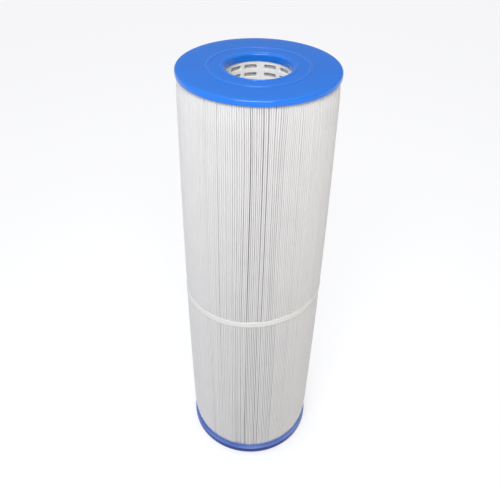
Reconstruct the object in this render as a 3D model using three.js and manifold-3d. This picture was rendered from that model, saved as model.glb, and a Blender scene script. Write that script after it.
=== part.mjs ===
// A pleated filter cartridge for a pool or spa, in millimetres, with +Z up.
// It stands on its bottom end cap: the origin is on its axis, in the plane of that cap's sealing rib.
//
// Pieces, from the outside in: two moulded end caps, a bead of hot-melt round the pleats, the pleated
// media, the glued seam that closes the media into a sleeve, and a slotted core of three sections.
import * as THREE from "three";
import { mergeGeometries, mergeVertices } from "three/addons/utils/BufferGeometryUtils.js";
import Module from "manifold-3d";

const wasm = await Module();
wasm.setup();

// ---- Driving dimensions ----

const CARTRIDGE_LENGTH = 408;
const CAP_RADIUS = 62.7;
const BORE_RADIUS = 25.4;

// Clearance between neighbouring pieces.
const GAP = 0.3;

// End caps: a plate with a skirt outside the pleats and a hub round the bore. The bottom cap's skirt is
// taller, and thicker because the pleats are drawn in more there.
const PLATE_THICKNESS = 2;
const TOP_SKIRT = { height: 4.5, thickness: 2 };
const BOTTOM_SKIRT = { height: 7, thickness: 3.5 };
const EDGE_ROUNDING = 1.5;
const HUB_HEIGHT = 6;
const HUB_RADIUS = 29.2;
const MOUTH_ROUNDING = 2.3;
const RIB_RADIUS = 38.8;
const RIB_HEIGHT = 0.5;
const RIB_TOP_WIDTH = 1.4;
const RIB_BASE_WIDTH = 3;
const CAP_SEGMENTS = 48;

// Core sections: slotted tubes that plug into each other and into the hubs.
const CORE_OUTER_RADIUS = 29;
const CORE_INNER_RADIUS = 26.6;
const CORE_SECTIONS = ["core_section_bottom", "core_section_middle", "core_section_top"];
const SPIGOT_LENGTH = 3.5;
const SLEEVE_SEGMENTS = 32;
const WIDE_RIBS = 4;
const WIDE_RIB_ANGLE = THREE.MathUtils.degToRad(12.8);
const FIRST_WIDE_RIB_DIRECTION = THREE.MathUtils.degToRad(87.2);
const COLUMNS_BETWEEN_WIDE_RIBS = 3;
const WINDOW_ANGLE = THREE.MathUtils.degToRad(21);
const WINDOW_ROWS = 3;
const WINDOW_HEIGHT = 37.6;
const WINDOW_PITCH = 40.85;
const PLAIN_BAND = 2.8;
const FACET_MARGIN = THREE.MathUtils.degToRad(0.4);

// Media: a sheet folded into deep pleats, packed tight enough to be one ring of cloth with a slot for
// the seam. Its outside shows the fold tips, which swell out beyond the end caps.
const PLEATS = 240;
const MEDIA_OUTER_RADIUS = 62.9;
const MEDIA_TOP_END = { radius: 60, swellLength: 16 };
const MEDIA_BOTTOM_END = { radius: 58, swellLength: 26 };
const MEDIA_INNER_RADIUS = 29.5;
const FOLD_TIP_DEPTH = 2;
const FOLD_TIP_SHARE = 0.4;
const INNER_SEGMENTS = 48;
const SEAM_DIRECTION = THREE.MathUtils.degToRad(90);
const SEAM_HALF_ANGLE = THREE.MathUtils.degToRad(1.5);
const SEAM_BEAD_THICKNESS = 0.8;

// Band: a bead of hot-melt laid round the pleat tips, a little higher on the +X side.
const BAND_CENTRE_HEIGHT = 198.7;
const BAND_RISE = 4;
const BAND_HEIGHT = 6.6;
const BAND_THICKNESS = 1.3;
const BAND_CROWN_SHARE = 0.35;
const BAND_SHOULDER_SHARE = 0.8;
const BAND_SEGMENTS = 60;

// ---- Dimensions worked out from those above ----

const CORE_MID_RADIUS = (CORE_OUTER_RADIUS + CORE_INNER_RADIUS) / 2;
const SPIGOT_RADIUS = CORE_MID_RADIUS - GAP / 2;
const SOCKET_RADIUS = CORE_MID_RADIUS + GAP / 2;
const SOCKET_DEPTH = SPIGOT_LENGTH + GAP;
const CORE_START = RIB_HEIGHT + HUB_HEIGHT + GAP;
const CORE_SPAN = CARTRIDGE_LENGTH - 2 * CORE_START;
const SECTION_LENGTH = (CORE_SPAN - (CORE_SECTIONS.length - 1) * GAP) / CORE_SECTIONS.length;
const WINDOW_COLUMNS = WIDE_RIBS * COLUMNS_BETWEEN_WIDE_RIBS;
const NARROW_RIB_ANGLE =
  ((2 * Math.PI) / WIDE_RIBS - WIDE_RIB_ANGLE - COLUMNS_BETWEEN_WIDE_RIBS * WINDOW_ANGLE) /
  (COLUMNS_BETWEEN_WIDE_RIBS - 1);
const MEDIA_START = RIB_HEIGHT + PLATE_THICKNESS + GAP;
const MEDIA_LENGTH = CARTRIDGE_LENGTH - 2 * MEDIA_START;

// ---- Materials ----

const capPlastic = () => new THREE.MeshStandardMaterial({ color: 0x3f80e0, roughness: 0.42, metalness: 0 });
const mediaCloth = () => new THREE.MeshStandardMaterial({ color: 0xe6e5e2, roughness: 0.95, metalness: 0 });
const hotMelt = () => new THREE.MeshStandardMaterial({ color: 0xf2efe4, roughness: 0.45, metalness: 0 });
const corePlastic = () => new THREE.MeshStandardMaterial({ color: 0xf0f0ec, roughness: 0.4, metalness: 0 });

// ---- Helpers ----

// The point at this radius and angle in the XY plane.
function polar(radius, angle) {
  return new THREE.Vector2(radius * Math.cos(angle), radius * Math.sin(angle));
}

// A solid turned about Z from a closed outline of [radius, height] points, listed clockwise.
function turned(outline, segments) {
  const points = outline.map(([radius, height]) => new THREE.Vector2(radius, height)).reverse();
  points.push(points[0].clone());
  return new THREE.LatheGeometry(points, segments).rotateX(Math.PI / 2);
}

// A quarter round in an outline, as three points from one angle to another about a centre.
function quarterRound(centreRadius, centreHeight, radius, fromDegrees, toDegrees) {
  return [0, 0.5, 1].map((part) => {
    const angle = THREE.MathUtils.degToRad(fromDegrees + part * (toDegrees - fromDegrees));
    return [centreRadius + radius * Math.cos(angle), centreHeight + radius * Math.sin(angle)];
  });
}

function toSolid(geometry) {
  const bare = geometry.clone();
  bare.deleteAttribute("normal");
  bare.deleteAttribute("uv");
  const merged = mergeVertices(bare, 1e-4);
  return new wasm.Manifold(
    new wasm.Mesh({
      numProp: 3,
      vertProperties: merged.attributes.position.array,
      triVerts: new Uint32Array(merged.index.array),
    }),
  );
}

function toGeometry(solid) {
  const mesh = solid.getMesh();
  const geometry = new THREE.BufferGeometry();
  geometry.setAttribute("position", new THREE.BufferAttribute(mesh.vertProperties, 3));
  geometry.setIndex(new THREE.BufferAttribute(mesh.triVerts, 1));
  geometry.computeVertexNormals();
  return geometry;
}

function piece(name, geometry, material) {
  const mesh = new THREE.Mesh(geometry, material);
  mesh.name = name;
  return mesh;
}

// ---- End caps ----

// The cap's outline, with height 0 at the rib's crest and the cartridge below it.
function capOutline(skirt) {
  const face = -RIB_HEIGHT;
  const hubEnd = face - HUB_HEIGHT;
  const skirtInnerRadius = CAP_RADIUS - skirt.thickness;
  return [
    ...quarterRound(BORE_RADIUS + MOUTH_ROUNDING, face - MOUTH_ROUNDING, MOUTH_ROUNDING, 180, 90),
    [RIB_RADIUS - RIB_BASE_WIDTH / 2, face],
    [RIB_RADIUS - RIB_TOP_WIDTH / 2, 0],
    [RIB_RADIUS + RIB_TOP_WIDTH / 2, 0],
    [RIB_RADIUS + RIB_BASE_WIDTH / 2, face],
    ...quarterRound(CAP_RADIUS - EDGE_ROUNDING, face - EDGE_ROUNDING, EDGE_ROUNDING, 90, 0),
    [CAP_RADIUS, face - skirt.height],
    [skirtInnerRadius, face - skirt.height],
    [skirtInnerRadius, face - PLATE_THICKNESS],
    [HUB_RADIUS, face - PLATE_THICKNESS],
    [HUB_RADIUS, hubEnd],
    [SOCKET_RADIUS, hubEnd],
    [SOCKET_RADIUS, hubEnd + SOCKET_DEPTH],
    [CORE_INNER_RADIUS - GAP, hubEnd + SOCKET_DEPTH],
    [CORE_INNER_RADIUS - GAP, hubEnd],
    [BORE_RADIUS, hubEnd],
  ];
}

function endCap(name, skirt) {
  return piece(name, turned(capOutline(skirt), CAP_SEGMENTS), capPlastic());
}

// ---- Core ----

// The middle of each window column, going round from the first wide rib.
function columnAngles() {
  const first = FIRST_WIDE_RIB_DIRECTION + WIDE_RIB_ANGLE / 2 + WINDOW_ANGLE / 2;
  return Array.from({ length: WINDOW_COLUMNS }, (_, column) => {
    const group = Math.floor(column / COLUMNS_BETWEEN_WIDE_RIBS);
    const place = column % COLUMNS_BETWEEN_WIDE_RIBS;
    return first + (group * 2 * Math.PI) / WIDE_RIBS + place * (WINDOW_ANGLE + NARROW_RIB_ANGLE);
  });
}

// A ring with one flat facet behind each window column.
function facetedRing(radius) {
  const halfFacet = WINDOW_ANGLE / 2 + FACET_MARGIN;
  return columnAngles().flatMap((middle) => [
    polar(radius, middle - halfFacet),
    polar(radius, middle + halfFacet),
  ]);
}

function windowCutters(topHeight) {
  const wall = 2 * (CORE_OUTER_RADIUS - CORE_INNER_RADIUS);
  const width = 2 * CORE_INNER_RADIUS * Math.sin(WINDOW_ANGLE / 2);
  const cutters = [];
  for (const angle of columnAngles()) {
    for (let row = 0; row < WINDOW_ROWS; row++) {
      const middleHeight = topHeight - PLAIN_BAND - WINDOW_HEIGHT / 2 - row * WINDOW_PITCH;
      cutters.push(
        new THREE.BoxGeometry(wall, width, WINDOW_HEIGHT)
          .translate(CORE_MID_RADIUS, 0, middleHeight)
          .rotateZ(angle),
      );
    }
  }
  return toSolid(mergeGeometries(cutters));
}

// A plain round sleeve between two heights.
function sleeve(innerRadius, outerRadius, bottom, top) {
  const outline = [
    [innerRadius, bottom],
    [innerRadius, top],
    [outerRadius, top],
    [outerRadius, bottom],
  ];
  return toSolid(turned(outline, SLEEVE_SEGMENTS));
}

// One section of the core, from height 0 up. A spigot stands on its top; below, it has a socket for
// the next section's spigot, or on the lowest section a second spigot for the bottom cap's hub.
function coreSection(name, isLowest) {
  const outline = new THREE.Shape(facetedRing(CORE_OUTER_RADIUS));
  outline.holes.push(new THREE.Path(facetedRing(CORE_INNER_RADIUS)));
  const wall = new THREE.ExtrudeGeometry(outline, { depth: SECTION_LENGTH, bevelEnabled: false });
  // The spigots start inside the wall so that the join is one body.
  const root = SECTION_LENGTH - PLAIN_BAND / 2;
  let solid = toSolid(wall)
    .subtract(windowCutters(SECTION_LENGTH))
    .add(sleeve(CORE_INNER_RADIUS, SPIGOT_RADIUS, root, SECTION_LENGTH + SPIGOT_LENGTH));
  if (isLowest) {
    solid = solid.add(sleeve(CORE_INNER_RADIUS, SPIGOT_RADIUS, -SPIGOT_LENGTH, PLAIN_BAND / 2));
  } else {
    solid = solid.subtract(sleeve(BORE_RADIUS, SOCKET_RADIUS, -GAP, SOCKET_DEPTH));
  }
  return piece(name, toGeometry(solid), corePlastic());
}

// ---- Media ----

// The pleat pack's cross-section: out along one side of the seam's slot, round the fold tips with a
// flat on each, and back round the inner folds.
function mediaShape() {
  const start = SEAM_DIRECTION + SEAM_HALF_ANGLE;
  const turn = 2 * Math.PI - 2 * SEAM_HALF_ANGLE;
  const pitch = turn / PLEATS;
  const halfTip = (pitch * FOLD_TIP_SHARE) / 2;
  const points = [];
  for (let pleat = 0; pleat < PLEATS; pleat++) {
    const tip = start + (pleat + 0.5) * pitch;
    points.push(polar(MEDIA_OUTER_RADIUS - FOLD_TIP_DEPTH, tip - pitch / 2));
    points.push(polar(MEDIA_OUTER_RADIUS, tip - halfTip));
    points.push(polar(MEDIA_OUTER_RADIUS, tip + halfTip));
  }
  points.push(polar(MEDIA_OUTER_RADIUS - FOLD_TIP_DEPTH, start + turn));
  for (let segment = INNER_SEGMENTS; segment >= 0; segment--) {
    points.push(polar(MEDIA_INNER_RADIUS, start + (segment / INNER_SEGMENTS) * turn));
  }
  return new THREE.Shape(points);
}

// The cross-section at full size along the middle, drawn in towards both ends.
function pleatedMedia() {
  const profile = [
    { height: 0, radius: MEDIA_BOTTOM_END.radius },
    { height: MEDIA_BOTTOM_END.swellLength, radius: MEDIA_OUTER_RADIUS },
    { height: MEDIA_LENGTH - MEDIA_TOP_END.swellLength, radius: MEDIA_OUTER_RADIUS },
    { height: MEDIA_LENGTH, radius: MEDIA_TOP_END.radius },
  ];
  const steps = profile.length - 1;
  const geometry = new THREE.ExtrudeGeometry(mediaShape(), { depth: steps, steps, bevelEnabled: false });
  const corners = geometry.attributes.position;
  for (let index = 0; index < corners.count; index++) {
    const level = profile[Math.round(corners.getZ(index))];
    const radius = Math.hypot(corners.getX(index), corners.getY(index));
    const isOutside = radius > (MEDIA_OUTER_RADIUS + MEDIA_INNER_RADIUS) / 2;
    const drawnIn = isOutside ? MEDIA_OUTER_RADIUS - level.radius : 0;
    const scale = (radius - drawnIn) / radius;
    corners.setXYZ(index, corners.getX(index) * scale, corners.getY(index) * scale, level.height);
  }
  geometry.computeVertexNormals();
  return piece("pleated_media", geometry, mediaCloth());
}

// The strip of adhesive between the sheet's two ends.
function mediaSeamBead() {
  const depth = MEDIA_BOTTOM_END.radius - MEDIA_INNER_RADIUS - 2 * GAP;
  const middleRadius = (MEDIA_BOTTOM_END.radius + MEDIA_INNER_RADIUS) / 2;
  const geometry = new THREE.BoxGeometry(depth, SEAM_BEAD_THICKNESS, MEDIA_LENGTH)
    .translate(middleRadius, 0, MEDIA_LENGTH / 2)
    .rotateZ(SEAM_DIRECTION);
  return piece("media_seam_bead", geometry, hotMelt());
}

// ---- Band ----

// A bead with a flat back against the pleat tips and a crowned front, centred on height 0.
function pleatBand() {
  const back = MEDIA_OUTER_RADIUS + GAP;
  const front = back + BAND_THICKNESS;
  const shoulder = back + BAND_THICKNESS / 2;
  const half = BAND_HEIGHT / 2;
  const outline = [
    [back, -half],
    [back, half],
    [shoulder, half * BAND_SHOULDER_SHARE],
    [front, half * BAND_CROWN_SHARE],
    [front, -half * BAND_CROWN_SHARE],
    [shoulder, -half * BAND_SHOULDER_SHARE],
  ];
  const lean = new THREE.Matrix4().makeShear(0, BAND_RISE / front, 0, 0, 0, 0);
  return piece("pleat_band", turned(outline, BAND_SEGMENTS).applyMatrix4(lean), hotMelt());
}

// ---- Assembly ----

const cartridge = new THREE.Group();

const topCap = endCap("top_end_cap", TOP_SKIRT);
topCap.position.z = CARTRIDGE_LENGTH;
const bottomCap = endCap("bottom_end_cap", BOTTOM_SKIRT);
bottomCap.rotation.x = Math.PI;
cartridge.add(topCap, bottomCap);

CORE_SECTIONS.forEach((name, index) => {
  const section = coreSection(name, index === 0);
  section.position.z = CORE_START + index * (SECTION_LENGTH + GAP);
  cartridge.add(section);
});

const sleevePieces = new THREE.Group();
sleevePieces.position.z = MEDIA_START;
sleevePieces.add(pleatedMedia(), mediaSeamBead());
cartridge.add(sleevePieces);

const band = pleatBand();
band.position.z = BAND_CENTRE_HEIGHT;
cartridge.add(band);

export default cartridge;
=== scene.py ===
"""The looks of a pleated filter cartridge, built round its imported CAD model."""
import math

import bpy
import numpy as np
from mathutils import Matrix, Vector


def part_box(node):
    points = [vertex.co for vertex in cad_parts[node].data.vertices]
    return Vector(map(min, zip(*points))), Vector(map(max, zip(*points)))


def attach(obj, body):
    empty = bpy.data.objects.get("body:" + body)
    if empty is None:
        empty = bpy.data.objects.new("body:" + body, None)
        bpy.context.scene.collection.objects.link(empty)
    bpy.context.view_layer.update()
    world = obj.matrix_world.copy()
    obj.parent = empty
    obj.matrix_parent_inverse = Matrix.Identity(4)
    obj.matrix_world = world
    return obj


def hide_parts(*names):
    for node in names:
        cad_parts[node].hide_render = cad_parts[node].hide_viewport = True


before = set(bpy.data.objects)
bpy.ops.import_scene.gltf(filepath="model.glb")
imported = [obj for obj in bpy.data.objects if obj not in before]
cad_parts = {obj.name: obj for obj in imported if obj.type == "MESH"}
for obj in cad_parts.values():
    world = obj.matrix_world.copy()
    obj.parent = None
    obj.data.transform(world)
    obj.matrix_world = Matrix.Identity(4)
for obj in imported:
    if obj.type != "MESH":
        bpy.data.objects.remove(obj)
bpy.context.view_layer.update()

# ---- Dimensions in millimetres. Heights along the cartridge come from the CAD boxes. ----

MM = 0.001

# End caps. The ledge is the resin's free surface inside the skirt, and the pool is the band of resin
# that the pleats stand in.
CAP_RADIUS = 62.7
BORE_RADIUS = 25.4
BORE_EDGE = 0.3
MOUTH_ROUNDING = 1.7
MOUTH_RISE = 0.1
LIP_RADIUS = 28.0
LIP_HEIGHT = 0.45
LIP_HALF_WIDTH = 0.95
RIB_RADIUS = 38.8
RIB_HEIGHT = 0.5
RIB_HALF_WIDTH = 1.15
RIDGE_STEPS = 10
FLAT_PAST_RIB = 8
FLAT_FROM_RIM = 6
PLATE_THICKNESS = 2.0
EDGE_ROUNDING = 1.5
SKIRT_END_ROUNDING = 0.5
TOP_SKIRT_HEIGHT = 4.5
TOP_LEDGE_RADIUS = 60.9
BOTTOM_SKIRT_HEIGHT = 7.0
BOTTOM_LEDGE_RADIUS = 58.9
BOTTOM_LEDGE_HEIGHT = RIB_HEIGHT + BOTTOM_SKIRT_HEIGHT
LEDGE_DEPTH = 0.4
LEDGE_SLOPE = 0.4
POOL_WIDTH = 4.5
# Points of (distance inwards, distance beyond the skirt's end): from the ledge's outer edge, and from the
# pool's inner edge.
LEDGE_SWELL = [(0.0, 0.0), (0.5, -0.03), (0.85, 0.1), (1.3, 0.22)]
POOL_EDGE = [(-0.4, 0.1), (0.0, -0.2)]
HUB_HEIGHT = 6.0
HUB_RADIUS = 29.2
HUB_EDGE = 0.2
SOCKET_OUTER_RADIUS = 27.95
SOCKET_INNER_RADIUS = 26.3
SOCKET_DEPTH = 3.8
CAP_TURN = 384

# Core
CORE_OUTER_RADIUS = 29.0
CORE_INNER_RADIUS = 26.6
CORE_EDGE = 0.25
SPIGOT_RADIUS = 27.65
SPIGOT_LENGTH = 3.5
SPIGOT_EDGE = 0.3
CORE_SOCKET_RADIUS = 27.95
CORE_SOCKET_DEPTH = 3.8
CORE_SOCKET_EDGE = 0.2
WIDE_RIBS = 4
WIDE_RIB_ANGLE = math.radians(12.8)
FIRST_WIDE_RIB_DIRECTION = math.radians(87.2)
COLUMNS_BETWEEN_WIDE_RIBS = 3
WINDOW_ANGLE = math.radians(21.0)
WINDOW_ROWS = 19
WINDOW_HEIGHT = 3.2
WINDOW_PITCH = 6.45
WINDOW_CORNER = 0.9
WINDOW_BEVEL = 0.3
CORNER_STEPS = 4
PLAIN_BAND = 2.8
TOP_CELL_TRIM = 0.2

# Media. A slit is the gap that shows between two neighbouring pleats. Lean and wander are in pleat
# pitches, and the levels are shares of the media's height, closest together at the ends.
PLEATS = 240
MEDIA_RADIUS = 62.0
MEDIA_BARREL = 1.65
TOP_DRAWN_IN = 1.9
TOP_SWELL_LENGTH = 5.0
BOTTOM_DRAWN_IN = 3.5
BOTTOM_SWELL_LENGTH = 6.5
BEAD_SQUEEZE = 0.45
BEAD_SQUEEZE_REACH = 7.0
MEDIA_INNER_RADIUS = 29.5
CLOTH_THICKNESS = 0.3
HALF_CLOTH = CLOTH_THICKNESS / 2
LEVELS_BELOW_BEAD = [0.0, 0.012, 0.018, 0.027, 0.041, 0.065, 0.11, 0.19, 0.28, 0.36, 0.43]
LEVELS_ABOVE_BEAD = [0.53, 0.58, 0.64, 0.70, 0.77, 0.84, 0.90, 0.945, 0.97, 0.985, 0.9945, 1.0]
BEAD_LEVEL_STEP = 3.0
LEAN = 0.30
WANDER = 0.085
EVEN_PLEATS_AT_SEAM = 5.0
USUAL_SLIT = 0.130
SMALLEST_SLIT = 0.03
WIDEST_SLIT = 0.62
NARROWEST_PLEAT = 0.78
SLIT_VARIETY = 0.60
SLIT_VARIETY_ALONG = 0.35
FRONT_DIRECTION = math.radians(-93.0)
FRONT_SPREAD = math.radians(7.0)
FRONT_LOOSENESS = 1.45
TIP_VARIETY = 0.16
DEEPEST_TIP = -0.35
PROUDEST_TIP = 0.25
STAIN_REACH = 8.0
MEDIA_SEED = 11

# Seam: the strip between the sheet's two ends, as points of (half its thickness, radius) near the core.
SEAM_DIRECTION = math.radians(90.0)
SEAM_HALF_ANGLE = math.radians(1.5)
SEAM_LEAN = math.radians(0.7)
SEAM_INNER_POINTS = [(0.20, 30.0), (0.25, 40.0), (0.36, 50.0)]
SEAM_HALF_THICKNESS = 0.62
SEAM_SINK = 1.1
SEAM_CROWN_DEPTH = 0.25
SEAM_CROWN_SHARE = 0.8
SEAM_SHOULDER_DEPTH = 0.9
SEAM_DEPTH_WAVE = 0.22
SEAM_THICKNESS_WAVE = 0.07
SEAM_SIDE_WAVE = 0.10
SEAM_LEVELS = 90
SEAM_SEED = 5

# Retaining bead. Its profile below the groove is points of (up, out), as shares of half its height and
# of its thickness.
BEAD_HEIGHT = 6.6
BEAD_THICKNESS = 1.35
BEAD_BACK_RADIUS = 62.85
BEAD_RISE = 4.0
BEAD_PROFILE = [(-1.0, -0.25), (-0.97, 0.30), (-0.80, 0.74), (-0.55, 0.98), (-0.28, 0.92), (-0.10, 0.66)]
BEAD_GROOVE = (0.0, 0.58)
BEAD_FULLNESS = 0.93
BEAD_THICKNESS_WAVE = 0.05
BEAD_PATH_WAVE = 0.14
BEAD_HEIGHT_WAVE = 0.05
BEAD_GROOVE_WAVE = 0.22
BEAD_DIP = 0.05
BEAD_LAP_DIRECTION = math.radians(97)
BEAD_LAP_SPREAD = 0.07
BEAD_LAP_THICKNESS = 0.55
BEAD_LAP_HEIGHT = 0.12
BEAD_WAVES = 26
BEAD_TURN = 720
BEAD_SEED = 3


# ---- Helpers ----

class Shell:
    """Collects the vertices and faces of one closed mesh, in millimetres, and welds equal points."""

    def __init__(self):
        self.points = []
        self.faces = []
        self.seen = {}

    def point(self, x, y, z):
        key = (round(x, 4), round(y, 4), round(z, 4))
        if key not in self.seen:
            self.seen[key] = len(self.points)
            self.points.append((x * MM, y * MM, z * MM))
        return self.seen[key]

    def polar(self, radius, angle, z):
        return self.point(radius * math.cos(angle), radius * math.sin(angle), z)

    def face(self, *corners):
        if len(set(corners)) > 2:
            self.faces.append(corners)

    def strip(self, lower, upper):
        """Quads between two closed rows of as many points."""
        for index, start in enumerate(lower):
            after = (index + 1) % len(lower)
            self.face(start, lower[after], upper[after], upper[index])


def make_piece(name, points, faces, material, smooth_angle=None):
    mesh = bpy.data.meshes.new(name)
    mesh.from_pydata(points, [], faces)
    mesh.validate()
    mesh.update()
    piece = bpy.data.objects.new(name, mesh)
    bpy.context.collection.objects.link(piece)
    mesh.materials.append(material)
    mesh.shade_smooth()
    if smooth_angle is not None:
        mesh.set_sharp_from_angle(angle=smooth_angle)
    return piece


def stands_for(piece, node):
    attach(piece, "root")
    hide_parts(node)


def heights_of(node):
    low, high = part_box(node)
    return low[2] / MM, high[2] / MM


def arc(centre, radius, start, end, steps):
    """Points of (radius, height) round a centre, with angles in degrees."""
    points = []
    for step in range(steps + 1):
        angle = math.radians(start + (end - start) * step / steps)
        points.append((centre[0] + radius * math.cos(angle), centre[1] + radius * math.sin(angle)))
    return points


def turned_piece(name, outline, material, segments):
    """A solid of revolution from a closed outline of (radius, height), listed clockwise."""
    shell = Shell()
    rows = []
    for segment in range(segments):
        angle = 2 * math.pi * segment / segments
        rows.append([shell.polar(radius, angle, height) for radius, height in outline])
    for segment in range(segments):
        shell.strip(rows[segment], rows[(segment + 1) % segments])
    return make_piece(name, shell.points, shell.faces, material, smooth_angle=math.radians(35))


# ---- Materials ----

def new_material(name):
    material = bpy.data.materials.new(name)
    material.use_nodes = True
    nodes = material.node_tree.nodes
    return material, nodes, material.node_tree.links, nodes["Principled BSDF"]


def object_coordinates(nodes):
    return nodes.new("ShaderNodeTexCoord").outputs["Object"]


def noise(nodes, links, coordinates, scale, detail=4.0, roughness=0.5):
    node = nodes.new("ShaderNodeTexNoise")
    node.inputs["Scale"].default_value = scale
    node.inputs["Detail"].default_value = detail
    node.inputs["Roughness"].default_value = roughness
    links.new(coordinates, node.inputs["Vector"])
    return node.outputs["Fac"]


def spread(nodes, links, value, low, high, start=0.0, end=1.0):
    """Maps a value between start and end to a range, and holds it there beyond them."""
    node = nodes.new("ShaderNodeMapRange")
    node.inputs["From Min"].default_value = start
    node.inputs["From Max"].default_value = end
    node.inputs["To Min"].default_value = low
    node.inputs["To Max"].default_value = high
    links.new(value, node.inputs["Value"])
    return node.outputs["Result"]


def colour_between(nodes, links, value, dark, light):
    node = nodes.new("ShaderNodeMix")
    node.data_type = "RGBA"
    node.inputs["A"].default_value = (*dark, 1.0)
    node.inputs["B"].default_value = (*light, 1.0)
    links.new(value, node.inputs["Factor"])
    return node.outputs["Result"]


def bump(nodes, links, height, distance, strength, below=None):
    node = nodes.new("ShaderNodeBump")
    node.inputs["Distance"].default_value = distance
    node.inputs["Strength"].default_value = strength
    links.new(height, node.inputs["Height"])
    if below is not None:
        links.new(below, node.inputs["Normal"])
    return node.outputs["Normal"]


def cap_material(name, dark, light, gloss):
    """Cast polyurethane: slightly cloudy, with a fine skin over shallow waves."""
    material, nodes, links, shader = new_material(name)
    place = object_coordinates(nodes)
    cloudy = noise(nodes, links, place, scale=28.0, detail=3.0)
    fine = noise(nodes, links, place, scale=900.0, detail=3.0)
    waves = noise(nodes, links, place, scale=90.0, detail=2.0)
    links.new(colour_between(nodes, links, cloudy, dark, light), shader.inputs["Base Color"])
    links.new(spread(nodes, links, fine, 0.16, 0.22), shader.inputs["Roughness"])
    shader.inputs["Specular IOR Level"].default_value = gloss
    skin = bump(nodes, links, fine, distance=0.00002, strength=0.12)
    surface = bump(nodes, links, waves, distance=0.0001, strength=0.20, below=skin)
    links.new(surface, shader.inputs["Normal"])
    return material


def resin_stain(nodes, links, place, cloth):
    """Tints the foot of the pleats, where the bottom cap's resin has crept up the cloth."""
    parts = nodes.new("ShaderNodeSeparateXYZ")
    links.new(place, parts.inputs["Vector"])
    creep = noise(nodes, links, place, scale=70.0, detail=3.0)
    start = BOTTOM_LEDGE_HEIGHT * MM
    reach = spread(nodes, links, creep, start, start + 2 * STAIN_REACH * MM)
    clean = nodes.new("ShaderNodeMapRange")
    clean.inputs["From Min"].default_value = start
    links.new(reach, clean.inputs["From Max"])
    links.new(parts.outputs["Z"], clean.inputs["Value"])
    stained = nodes.new("ShaderNodeMix")
    stained.data_type = "RGBA"
    stained.inputs["A"].default_value = (0.24, 0.34, 0.69, 1.0)
    links.new(cloth, stained.inputs["B"])
    links.new(clean.outputs["Result"], stained.inputs["Factor"])
    return stained.outputs["Result"]


def media_material():
    """Spun-bonded polyester, with its fibres in the bump."""
    material, nodes, links, shader = new_material("spunbond_polyester_white")
    place = object_coordinates(nodes)
    cloudy = noise(nodes, links, place, scale=45.0, detail=4.0, roughness=0.6)
    fibres = noise(nodes, links, place, scale=1800.0, detail=6.0, roughness=0.7)
    cloth = colour_between(nodes, links, cloudy, (0.634, 0.632, 0.637), (0.698, 0.695, 0.693))
    links.new(resin_stain(nodes, links, place, cloth), shader.inputs["Base Color"])
    shader.inputs["Roughness"].default_value = 0.9
    shader.inputs["Specular IOR Level"].default_value = 0.2
    shader.inputs["Sheen Weight"].default_value = 0.12
    shader.inputs["Sheen Roughness"].default_value = 0.6
    links.new(bump(nodes, links, fibres, distance=0.00006, strength=0.5), shader.inputs["Normal"])
    return material


def bead_material():
    """Hot-melt adhesive: smooth, with soft ripples."""
    material, nodes, links, shader = new_material("hot_melt_cream")
    place = object_coordinates(nodes)
    cloudy = noise(nodes, links, place, scale=60.0, detail=3.0)
    ripples = noise(nodes, links, place, scale=260.0, detail=2.0)
    links.new(colour_between(nodes, links, cloudy, (0.660, 0.665, 0.645), (0.725, 0.730, 0.710)),
              shader.inputs["Base Color"])
    shader.inputs["Roughness"].default_value = 0.38
    shader.inputs["Specular IOR Level"].default_value = 0.45
    links.new(bump(nodes, links, ripples, distance=0.0002, strength=0.3), shader.inputs["Normal"])
    return material


def core_material():
    """Moulded polypropylene with a satin skin."""
    material, nodes, links, shader = new_material("polypropylene_white")
    place = object_coordinates(nodes)
    cloudy = noise(nodes, links, place, scale=50.0, detail=3.0)
    fine = noise(nodes, links, place, scale=700.0, detail=3.0)
    links.new(colour_between(nodes, links, cloudy, (0.88, 0.88, 0.87), (0.93, 0.93, 0.925)),
              shader.inputs["Base Color"])
    links.new(spread(nodes, links, fine, 0.34, 0.46), shader.inputs["Roughness"])
    links.new(bump(nodes, links, fine, distance=0.00003, strength=0.3), shader.inputs["Normal"])
    return material


# ---- End caps ----

def ridge(radius, base, height, half_width):
    """A low ring standing on a face, rounded over its top."""
    angles = [math.pi * step / RIDGE_STEPS for step in range(RIDGE_STEPS, -1, -1)]
    return [(radius + half_width * math.cos(angle), base + height * math.sin(angle)) for angle in angles]


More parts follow.
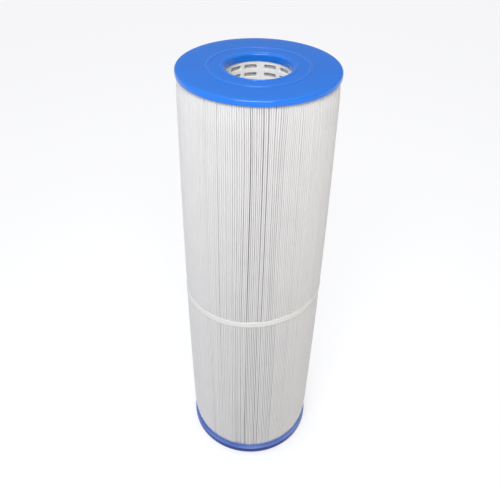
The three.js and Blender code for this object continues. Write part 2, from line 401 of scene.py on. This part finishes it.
def cap_outline(skirt_height, ledge_radius):
    """The casting's outline, with height 0 at the rib's crest and the cartridge below it."""
    face = -RIB_HEIGHT
    plate_inner = face - PLATE_THICKNESS
    hub_end = face - HUB_HEIGHT
    socket_end = hub_end + SOCKET_DEPTH
    skirt_end = face - skirt_height
    pool_radius = ledge_radius - POOL_WIDTH
    mouth_centre = (BORE_RADIUS + MOUTH_ROUNDING, face - MOUTH_ROUNDING + MOUTH_RISE)
    edge_centre = (CAP_RADIUS - EDGE_ROUNDING, face - EDGE_ROUNDING)
    skirt_end_centre = (CAP_RADIUS - SKIRT_END_ROUNDING, skirt_end + SKIRT_END_ROUNDING)
    outline = [(BORE_RADIUS, hub_end + BORE_EDGE)]
    outline += arc(mouth_centre, MOUTH_ROUNDING, 180, 100, 8)
    outline += ridge(LIP_RADIUS, face, LIP_HEIGHT, LIP_HALF_WIDTH)
    outline += ridge(RIB_RADIUS, face, RIB_HEIGHT, RIB_HALF_WIDTH)
    outline += [(RIB_RADIUS + FLAT_PAST_RIB, face), (CAP_RADIUS - FLAT_FROM_RIM, face)]
    outline += arc(edge_centre, EDGE_ROUNDING, 90, 0, 8)
    outline += arc(skirt_end_centre, SKIRT_END_ROUNDING, 0, -90, 4)
    outline += [(ledge_radius - inwards, skirt_end - rise) for inwards, rise in LEDGE_SWELL]
    outline += [(pool_radius - inwards, skirt_end - rise) for inwards, rise in POOL_EDGE]
    outline += [(pool_radius, plate_inner), (HUB_RADIUS, plate_inner)]
    outline += [(HUB_RADIUS, hub_end + HUB_EDGE), (HUB_RADIUS - HUB_EDGE, hub_end)]
    outline += [(SOCKET_OUTER_RADIUS, hub_end), (SOCKET_OUTER_RADIUS, socket_end)]
    outline += [(SOCKET_INNER_RADIUS, socket_end), (SOCKET_INNER_RADIUS, hub_end)]
    outline += [(BORE_RADIUS + BORE_EDGE, hub_end)]
    return outline


def top_cap(name, node, material):
    high = heights_of(node)[1]
    outline = cap_outline(TOP_SKIRT_HEIGHT, TOP_LEDGE_RADIUS)
    outline = [(radius, high + height) for radius, height in outline]
    piece = turned_piece(name, outline, material, CAP_TURN)
    stands_for(piece, node)


def bottom_cap(name, node, material, ledge_material):
    """The same casting upside down, with a taller skirt and a wider ledge that has a colour of its own. Its
    urethane is a darker copy of the top cap's azure, as painted shade.
    """
    low = heights_of(node)[0]
    outline = cap_outline(BOTTOM_SKIRT_HEIGHT, BOTTOM_LEDGE_RADIUS)
    outline = [(radius, low - height) for radius, height in reversed(outline)]
    piece = turned_piece(name, outline, material, CAP_TURN)
    stands_for(piece, node)
    paint_ledge(piece, ledge_material)


def paint_ledge(piece, material):
    """Gives the resin's free surface a material of its own: it is what faces up at the skirt's end."""
    piece.data.materials.append(material)
    lowest = (BOTTOM_LEDGE_HEIGHT - LEDGE_DEPTH) * MM
    for face in piece.data.polygons:
        if face.center.z > lowest and face.normal.z > LEDGE_SLOPE:
            face.material_index = 1


# ---- Core ----

def window_outline(grow):
    """A window's rounded outline, as points of (turn, up, facing) from its middle.

    Turn is an angle round the core, and facing is the way that the outline faces there, in degrees.
    """
    half_width = CORE_INNER_RADIUS * math.sin(WINDOW_ANGLE / 2) + grow
    half_height = WINDOW_HEIGHT / 2 + grow
    radius = WINDOW_CORNER + grow
    points = []
    for quarter in range(4):
        side_x = 1 if quarter in (0, 3) else -1
        side_y = 1 if quarter in (0, 1) else -1
        for step in range(CORNER_STEPS + 1):
            facing = 90 * quarter + 90 * step / CORNER_STEPS
            across = side_x * (half_width - radius) + radius * math.cos(math.radians(facing))
            up = side_y * (half_height - radius) + radius * math.sin(math.radians(facing))
            points.append((across, up, facing))
        if quarter in (0, 2):
            for share in (0.5, 0.0, -0.5):
                points.append((side_x * share * (half_width - radius), side_y * half_height, facing))
    return [(across / CORE_INNER_RADIUS, up, facing) for across, up, facing in points]


def cell_outline(left, right, below, above):
    """The points on a cell's edge that its window's outline points are joined to, in the same order."""
    cell = []
    for turn, up, facing in window_outline(0.0):
        tilt = facing % 180
        if tilt <= 45 or tilt >= 135:
            turn = right if turn > 0 else left
        if 45 <= tilt <= 135:
            up = above if up > 0 else below
        cell.append((turn, up, facing))
    return cell


def window_columns():
    """Each window column's direction, and how far to its left and right its cell reaches."""
    quarter = 2 * math.pi / WIDE_RIBS
    ribs = quarter - WIDE_RIB_ANGLE - COLUMNS_BETWEEN_WIDE_RIBS * WINDOW_ANGLE
    step = WINDOW_ANGLE + ribs / (COLUMNS_BETWEEN_WIDE_RIBS - 1)
    first = FIRST_WIDE_RIB_DIRECTION + WIDE_RIB_ANGLE / 2 + WINDOW_ANGLE / 2
    middles = [first + group * quarter + place * step
               for group in range(WIDE_RIBS) for place in range(COLUMNS_BETWEEN_WIDE_RIBS)]
    before = [middles[-1] - 2 * math.pi] + middles[:-1]
    after = middles[1:] + [middles[0] + 2 * math.pi]
    return [(middle, (previous - middle) / 2, (following - middle) / 2)
            for previous, middle, following in zip(before, middles, after)]


def core_section(name, node, material, has_socket):
    low, high = heights_of(node)
    top = high - SPIGOT_LENGTH
    bottom = low if has_socket else low + SPIGOT_LENGTH
    rows = [top - PLAIN_BAND - WINDOW_HEIGHT / 2 - row * WINDOW_PITCH for row in range(WINDOW_ROWS)]
    lowest = rows[-1] - WINDOW_PITCH / 2
    highest = rows[0] + WINDOW_PITCH / 2 - TOP_CELL_TRIM
    shell = Shell()
    directions = set()
    for middle, left, right in window_columns():
        for row, centre in enumerate(rows):
            above = (highest if row == 0 else centre + WINDOW_PITCH / 2) - centre
            below = (lowest if row == WINDOW_ROWS - 1 else centre - WINDOW_PITCH / 2) - centre
            add_window(shell, middle, centre, cell_outline(left, right, below, above))
        for turn, up, facing in cell_outline(left, right, -1, 1):
            directions.add(round(middle + turn, 9))
    directions = in_order_round(directions)
    add_section_end(shell, directions, spigot_profile(highest, top, 1))
    if has_socket:
        add_section_end(shell, directions, socket_profile(lowest, bottom))
    else:
        add_section_end(shell, directions, spigot_profile(lowest, bottom, -1)[::-1])
    piece = make_piece(name, shell.points, shell.faces, material, smooth_angle=math.radians(40))
    stands_for(piece, node)


def add_window(shell, middle, centre, cell):
    """The wall round one window: the outside, the way through the wall and the inside."""
    edge = window_outline(WINDOW_BEVEL)
    throat = window_outline(0.0)
    loops = [(CORE_OUTER_RADIUS, cell), (CORE_OUTER_RADIUS, edge)]
    loops += [(CORE_OUTER_RADIUS - WINDOW_BEVEL, throat), (CORE_INNER_RADIUS + WINDOW_BEVEL, throat)]
    loops += [(CORE_INNER_RADIUS, edge), (CORE_INNER_RADIUS, cell)]
    rows = []
    for radius, outline in loops:
        rows.append([shell.polar(radius, middle + turn, centre + up) for turn, up, facing in outline])
    for outside, inside in zip(rows, rows[1:]):
        shell.strip(outside, inside)


def in_order_round(directions):
    """Directions in order round the axis, each only once."""
    found = {round(math.atan2(math.sin(angle), math.cos(angle)), 7): angle for angle in directions}
    return [found[wrapped] for wrapped in sorted(found)]


def spigot_profile(wall, base, upwards):
    """A section's end with a spigot, from the outside in. Upwards is 1 at the top end, -1 at the bottom."""
    tip = base + upwards * SPIGOT_LENGTH
    return [(CORE_OUTER_RADIUS, wall), (CORE_OUTER_RADIUS, base - upwards * CORE_EDGE),
            (CORE_OUTER_RADIUS - CORE_EDGE, base), (SPIGOT_RADIUS, base),
            (SPIGOT_RADIUS, tip - upwards * SPIGOT_EDGE), (SPIGOT_RADIUS - SPIGOT_EDGE, tip),
            (CORE_INNER_RADIUS + CORE_EDGE, tip), (CORE_INNER_RADIUS, tip - upwards * CORE_EDGE),
            (CORE_INNER_RADIUS, wall)]


def socket_profile(wall, end):
    """A section's bottom end with a socket for the next one's spigot, from the inside out."""
    floor = end + CORE_SOCKET_DEPTH
    return [(CORE_INNER_RADIUS, wall), (CORE_INNER_RADIUS, floor + CORE_EDGE),
            (CORE_INNER_RADIUS + CORE_EDGE, floor), (CORE_SOCKET_RADIUS, floor),
            (CORE_SOCKET_RADIUS, end + CORE_SOCKET_EDGE), (CORE_SOCKET_RADIUS + CORE_SOCKET_EDGE, end),
            (CORE_OUTER_RADIUS - CORE_EDGE, end), (CORE_OUTER_RADIUS, end + CORE_EDGE),
            (CORE_OUTER_RADIUS, wall)]


def add_section_end(shell, directions, profile):
    rows = [[shell.polar(radius, angle, height) for angle in directions] for radius, height in profile]
    for near, far in zip(rows, rows[1:]):
        shell.strip(near, far)


# ---- Pleated media ----

def smooth_field(rng, count, levels, knots, neighbours=0):
    """Random values for each fold and height, of about unit size, changing slowly with height.

    They are drawn at the knots, and are alike over as many neighbours to either side.
    """
    raw = rng.standard_normal((knots, count + 2 * neighbours))
    if neighbours:
        window = np.hanning(2 * neighbours + 3)[1:-1]
        window /= math.sqrt((window ** 2).sum())
        raw = np.array([np.convolve(row, window, mode="valid") for row in raw])
    position = np.linspace(0, knots - 1, levels)
    start = np.minimum(position.astype(int), knots - 2)
    share = position - start
    share = share * share * (3 - 2 * share)
    return raw[start] * (1 - share)[:, None] + raw[start + 1] * share[:, None]


def media_heights(low, high, bead_height):
    """Levels that are closest together at the ends and round the bead."""
    levels = [low + share * (high - low) for share in LEVELS_BELOW_BEAD]
    levels += [bead_height - BEAD_LEVEL_STEP, bead_height, bead_height + BEAD_LEVEL_STEP]
    levels += [low + share * (high - low) for share in LEVELS_ABOVE_BEAD]
    return np.array(levels)


def pack_radius(heights, low, high, bead_height):
    """The radius of the fold tips: held in by the caps, swelling past them, and gently barrelled."""
    share = (heights - low) / (high - low)
    above_bottom = np.maximum(heights - low - BOTTOM_SKIRT_HEIGHT + PLATE_THICKNESS, 0.0)
    below_top = np.maximum(high - heights - TOP_SKIRT_HEIGHT + PLATE_THICKNESS, 0.0)
    foot = BOTTOM_DRAWN_IN * np.exp(-above_bottom / BOTTOM_SWELL_LENGTH)
    head = TOP_DRAWN_IN * np.exp(-below_top / TOP_SWELL_LENGTH)
    held = BEAD_SQUEEZE * np.exp(-((heights - bead_height) / BEAD_SQUEEZE_REACH) ** 2)
    return MEDIA_RADIUS + MEDIA_BARREL * np.sin(math.pi * share) - foot - head - held


def slit_layout(rng, heights, radius):
    """The angle of each slit between fold tips and its width, at every height."""
    levels = len(heights)
    start = SEAM_DIRECTION + SEAM_HALF_ANGLE - SEAM_LEAN
    turn = 2 * math.pi - 2 * (SEAM_HALF_ANGLE - SEAM_LEAN)
    pitch = turn / PLEATS
    slits = np.arange(PLEATS + 1)
    even = start + pitch * slits
    lean = LEAN * smooth_field(rng, PLEATS + 1, levels, knots=5, neighbours=9)
    wander = WANDER * smooth_field(rng, PLEATS + 1, levels, knots=7, neighbours=1)
    from_seam = np.minimum(slits, slits[::-1])
    freedom = np.minimum(1.0, from_seam / EVEN_PLEATS_AT_SEAM)
    centres = even + pitch * freedom * (lean + wander)
    own = np.exp(SLIT_VARIETY * rng.standard_normal(PLEATS + 1))
    along = np.exp(SLIT_VARIETY_ALONG * smooth_field(rng, PLEATS + 1, levels, knots=6))
    from_front = np.arctan2(np.sin(even - FRONT_DIRECTION), np.cos(even - FRONT_DIRECTION))
    loose = 1.0 + FRONT_LOOSENESS * np.exp(-(from_front / FRONT_SPREAD) ** 2)
    widths = USUAL_SLIT * own * loose * along
    room = np.diff(centres, axis=1) * radius[:, None] - NARROWEST_PLEAT
    limit = np.full_like(widths, WIDEST_SLIT)
    limit[:, 1:] = np.minimum(limit[:, 1:], room)
    limit[:, :-1] = np.minimum(limit[:, :-1], room)
    return centres, np.maximum(np.minimum(widths, limit), SMALLEST_SLIT)


def fold_points(centre_radius, centre_angle, fold_radius, outwards, angles):
    """Points round each fold in the middle of the cloth, and the way that the fold's outside faces there.

    Outwards is 1 for a fold tip and -1 for a fold at the core; the angles are in degrees from that way.
    """
    out = np.stack([np.cos(centre_angle), np.sin(centre_angle)], axis=-1)
    along = np.stack([-np.sin(centre_angle), np.cos(centre_angle)], axis=-1)
    centre = centre_radius[..., None] * out
    ways = [outwards * math.cos(angle) * out + math.sin(angle) * along for angle in np.radians(angles)]
    ways = np.stack(ways, axis=-2)
    points = centre[..., None, :] + fold_radius[..., None, None] * ways
    return points, ways


def outer_folds(heights, radius):
    """The fold tips, uneven in place and width, and some prouder than others."""
    rng = np.random.default_rng(MEDIA_SEED)
    centres, slits = slit_layout(rng, heights, radius)
    left = centres[:, :-1] * radius[:, None] + slits[:, :-1] / 2
    right = centres[:, 1:] * radius[:, None] - slits[:, 1:] / 2
    fold_radius = (right - left) / 2 - HALF_CLOTH
    proud = TIP_VARIETY * smooth_field(rng, PLEATS, len(heights), knots=4)
    tips = radius[:, None] + np.clip(proud, DEEPEST_TIP, PROUDEST_TIP)
    middles = (left + right) / 2 / radius[:, None]
    centre_radius = tips - HALF_CLOTH - fold_radius
    return fold_points(centre_radius, middles, fold_radius, 1, [-90, -45, 0, 45, 90])


def inner_folds(levels):
    """The folds that lie against the core, evenly spaced."""
    pitch = (2 * math.pi - 2 * SEAM_HALF_ANGLE) / PLEATS
    middles = SEAM_DIRECTION + SEAM_HALF_ANGLE + pitch * np.arange(PLEATS + 1)
    middles = np.tile(middles, (levels, 1))
    fold_radius = np.full_like(middles, pitch * MEDIA_INNER_RADIUS / 4)
    centre_radius = MEDIA_INNER_RADIUS + HALF_CLOTH + fold_radius
    return fold_points(centre_radius, middles, fold_radius, -1, [-90, 0, 90])


def media_sheet(name, node, material, bead_height):
    """The folded sheet, and its length when it is unfolded."""
    low, high = heights_of(node)
    heights = media_heights(low, high, bead_height)
    radius = pack_radius(heights, low, high, bead_height)
    outer, outer_ways = outer_folds(heights, radius)
    inner, inner_ways = inner_folds(len(heights))
    outside = weave(outer + HALF_CLOTH * outer_ways, inner - HALF_CLOTH * inner_ways)
    inside = weave(outer - HALF_CLOTH * outer_ways, inner + HALF_CLOTH * inner_ways)
    points, faces = thin_sheet(outside, inside, heights)
    piece = make_piece(name, points, faces, material)
    stands_for(piece, node)
    length = np.linalg.norm(np.diff((outside + inside) / 2, axis=1), axis=2).sum(axis=1).mean()
    return piece, length


def weave(outer, inner):
    """One row of points per height: out and back over each fold tip, with an inner fold between."""
    levels = outer.shape[0]
    rows = [inner[:, 0, 1:]]
    for pleat in range(PLEATS):
        rows.append(outer[:, pleat])
        last = pleat == PLEATS - 1
        rows.append(inner[:, pleat + 1, :2] if last else inner[:, pleat + 1])
    return np.concatenate(rows, axis=1).reshape(levels, -1, 2)


def thin_sheet(outside, inside, heights):
    """A closed sheet between two surfaces of as many points, in rows that lie at the given heights."""
    levels, count = outside.shape[:2]
    tall = np.repeat(heights[:, None], count, axis=1)[..., None]
    both = np.concatenate([np.concatenate([outside, tall], axis=2).reshape(-1, 3),
                           np.concatenate([inside, tall], axis=2).reshape(-1, 3)])
    index = np.arange(levels * count).reshape(levels, count)
    behind = index + levels * count

    def quads(a, b, c, d):
        return np.stack([a.ravel(), b.ravel(), c.ravel(), d.ravel()], axis=1)

    faces = [
        quads(index[:-1, :-1], index[:-1, 1:], index[1:, 1:], index[1:, :-1]),
        quads(behind[1:, :-1], behind[1:, 1:], behind[:-1, 1:], behind[:-1, :-1]),
        quads(index[-1, :-1], index[-1, 1:], behind[-1, 1:], behind[-1, :-1]),
        quads(behind[0, :-1], behind[0, 1:], index[0, 1:], index[0, :-1]),
        quads(index[:-1, 0], index[1:, 0], behind[1:, 0], behind[:-1, 0]),
        quads(index[:-1, -1], behind[:-1, -1], behind[1:, -1], index[1:, -1]),
    ]
    return (both * MM).tolist(), np.concatenate(faces).tolist()


# ---- Seam and bead ----

def seam_strip(name, node, material, bead_height):
    """The strip of adhesive between the sheet's two ends, thicker towards the outside."""
    low, high = heights_of(node)
    rng = np.random.default_rng(SEAM_SEED)
    heights = np.linspace(low, high, SEAM_LEVELS)
    tips = pack_radius(heights, low, high, bead_height)
    swell = smooth_field(rng, 3, SEAM_LEVELS, knots=24)
    shell = Shell()
    rows = []
    for level, height in enumerate(heights):
        outer = tips[level] - SEAM_SINK + SEAM_DEPTH_WAVE * swell[level, 0]
        thick = SEAM_HALF_THICKNESS + SEAM_THICKNESS_WAVE * swell[level, 1]
        shift = SEAM_SIDE_WAVE * swell[level, 2]
        side = SEAM_INNER_POINTS + [(thick, outer - SEAM_SHOULDER_DEPTH)]
        side = side + [(SEAM_CROWN_SHARE * thick, outer - SEAM_CROWN_DEPTH)]
        outline = side + [(0.0, outer)] + [(-across, radius) for across, radius in reversed(side)]
        rows.append([shell.point(across + shift, radius, height) for across, radius in outline])
    for lower, upper in zip(rows, rows[1:]):
        shell.strip(lower, upper)
    shell.face(*rows[0][::-1])
    shell.face(*rows[-1])
    piece = make_piece(name, shell.points, shell.faces, material, smooth_angle=math.radians(50))
    stands_for(piece, node)


def smooth_circle(rng, count, waves):
    """Random values round a circle, of about unit size, with no step where it closes."""
    angle = 2 * math.pi * np.arange(count) / count
    total = np.zeros(count)
    for wave in range(1, waves + 1):
        phase = rng.uniform(0, 2 * math.pi)
        total += rng.standard_normal() * np.cos(wave * angle + phase)
    return total / math.sqrt(waves / 2)


def bead_section(step, wave, centre, profile):
    """The bead's section at one step round the pleats, as (radius, angle, height)."""
    angle = 2 * math.pi * step / BEAD_TURN
    lap = math.exp(-((angle - BEAD_LAP_DIRECTION) / BEAD_LAP_SPREAD) ** 2)
    dip = BEAD_DIP * math.cos(PLEATS * angle)
    back = BEAD_BACK_RADIUS + dip
    thick = BEAD_THICKNESS * (1 + BEAD_THICKNESS_WAVE * wave[0]) + BEAD_LAP_THICKNESS * lap
    middle = centre + BEAD_RISE * math.cos(angle) + BEAD_PATH_WAVE * wave[1]
    fullness = BEAD_FULLNESS + BEAD_HEIGHT_WAVE * wave[2] + BEAD_LAP_HEIGHT * lap
    tall = BEAD_HEIGHT / 2 * fullness + dip
    groove = BEAD_GROOVE_WAVE * wave[3]
    section = []
    for up, out in profile:
        height = middle + tall * (up + groove * (1 - abs(up)))
        section.append((back + thick * out, angle, height))
    return section


def retaining_bead(name, node, material):
    """Two ropes of hot-melt laid side by side, sunk a little between the fold tips."""
    low, high = heights_of(node)
    rng = np.random.default_rng(BEAD_SEED)
    waves = np.array([smooth_circle(rng, BEAD_TURN, BEAD_WAVES) for _ in range(4)])
    profile = BEAD_PROFILE + [BEAD_GROOVE] + [(-up, out) for up, out in reversed(BEAD_PROFILE)]
    shell = Shell()
    rows = []
    for step in range(BEAD_TURN):
        section = bead_section(step, waves[:, step], (low + high) / 2, profile)
        rows.append([shell.polar(*place) for place in section])
    for step in range(BEAD_TURN):
        shell.strip(rows[step], rows[step - 1])
    piece = make_piece(name, shell.points, shell.faces, material, smooth_angle=math.radians(60))
    stands_for(piece, node)


# ---- Scene ----

def add_floor():
    bpy.ops.mesh.primitive_plane_add(size=80.0, location=(0, 0, -0.0002))
    floor = bpy.context.object
    floor.name = "floor"
    material, _, _, shader = new_material("pale_floor")
    shader.inputs["Base Color"].default_value = (0.50, 0.525, 0.57, 1)
    shader.inputs["Roughness"].default_value = 0.95
    shader.inputs["Specular IOR Level"].default_value = 0.0
    shader.inputs["Emission Color"].default_value = (1, 1, 1, 1)
    shader.inputs["Emission Strength"].default_value = 0.56
    floor.data.materials.append(material)


def add_world():
    """A soft dome, bright overhead, cool on the left and warm on the right, over a pale backdrop."""
    world = bpy.data.worlds.new("studio")
    bpy.context.scene.world = world
    world.use_nodes = True
    nodes = world.node_tree.nodes
    links = world.node_tree.links
    parts = nodes.new("ShaderNodeSeparateXYZ")
    links.new(nodes.new("ShaderNodeTexCoord").outputs["Generated"], parts.inputs["Vector"])
    across = spread(nodes, links, parts.outputs["X"], 0.0, 1.0, start=-1.0, end=1.0)
    tint = colour_between(nodes, links, across, (0.80, 0.83, 0.94), (0.43, 0.34, 0.18))
    dome = nodes["Background"]
    links.new(tint, dome.inputs["Color"])
    links.new(spread(nodes, links, parts.outputs["Z"], 0.19, 1.78, start=0.25, end=1.0),
              dome.inputs["Strength"])
    backdrop = nodes.new("ShaderNodeBackground")
    backdrop.inputs["Color"].default_value = (1.0, 1.0, 1.0, 1.0)
    links.new(spread(nodes, links, parts.outputs["Z"], 0.72, 0.0, start=0.10, end=0.34),
              backdrop.inputs["Strength"])
    both = nodes.new("ShaderNodeAddShader")
    links.new(dome.outputs["Background"], both.inputs[0])
    links.new(backdrop.outputs["Background"], both.inputs[1])
    links.new(both.outputs["Shader"], nodes["World Output"].inputs["Surface"])


def add_softbox(name, place, target, width, height, power):
    data = bpy.data.lights.new(name, "AREA")
    data.shape = "RECTANGLE"
    data.size = width
    data.size_y = height
    data.spread = math.radians(110)
    data.energy = power
    lamp = bpy.data.objects.new(name, data)
    bpy.context.collection.objects.link(lamp)
    lamp.location = place
    lamp.rotation_euler = (Vector(target) - Vector(place)).to_track_quat("-Z", "Y").to_euler()


def add_camera():
    """Looks along +Y and down by the pitch, a little to one side by the yaw, and leans by the roll."""
    place = Vector((0, -0.420660, 0.566047))
    pitch = math.radians(38.373)
    yaw = math.radians(-0.390)
    roll = math.radians(1.516)
    data = bpy.data.cameras.new("camera")
    data.lens = 41.5768
    data.sensor_width = 36.0
    camera = bpy.data.objects.new("camera", data)
    bpy.context.collection.objects.link(camera)
    ahead = Vector((0, math.cos(pitch), -math.sin(pitch)))
    across = Vector((1, 0, 0))
    up = Vector((0, math.sin(pitch), math.cos(pitch)))
    look = math.cos(yaw) * ahead + math.sin(yaw) * across
    side = math.cos(yaw) * across - math.sin(yaw) * ahead
    right = math.cos(roll) * side + math.sin(roll) * up
    top = -math.sin(roll) * side + math.cos(roll) * up
    turn = Matrix((right, top, -look)).transposed()
    camera.matrix_world = Matrix.Translation(place) @ turn.to_4x4()
    bpy.context.scene.camera = camera


bpy.context.scene.view_settings.view_transform = "Standard"
add_camera()
add_world()
add_floor()
add_softbox("key", (-0.04, -0.48, 0.82), (0, 0, 0.36), width=0.45, height=0.24, power=1.30)

azure = cap_material("cast_urethane_azure", (0.002, 0.152, 0.67), (0.004, 0.169, 0.73), 0.55)
# The bottom cap is the same azure urethane as the top one; this darker, less glossy copy is painted shade
# for the cap that sits low by the floor.
painted_shade_azure = cap_material("cast_urethane_azure_with_painted_shade", (0.014, 0.039, 0.22), (0.019, 0.049, 0.265), 0.22)
lavender = cap_material("cast_urethane_on_cloth", (0.03, 0.10, 0.44), (0.30, 0.42, 0.84), 0.30)
white_cloth = media_material()
cream = bead_material()
white_plastic = core_material()

top_cap("cap_top", "top_end_cap", azure)
bottom_cap("cap_bottom", "bottom_end_cap", painted_shade_azure, lavender)
core_section("core_top", "core_section_top", white_plastic, has_socket=True)
core_section("core_middle", "core_section_middle", white_plastic, has_socket=True)
core_section("core_bottom", "core_section_bottom", white_plastic, has_socket=False)
bead_low, bead_high = heights_of("pleat_band")
bead_middle = (bead_low + bead_high) / 2
sheet, unfolded = media_sheet("media_sheet", "pleated_media", white_cloth, bead_middle)
seam_strip("seam_adhesive", "media_seam_bead", cream, bead_middle)
retaining_bead("retaining_bead", "pleat_band", cream)
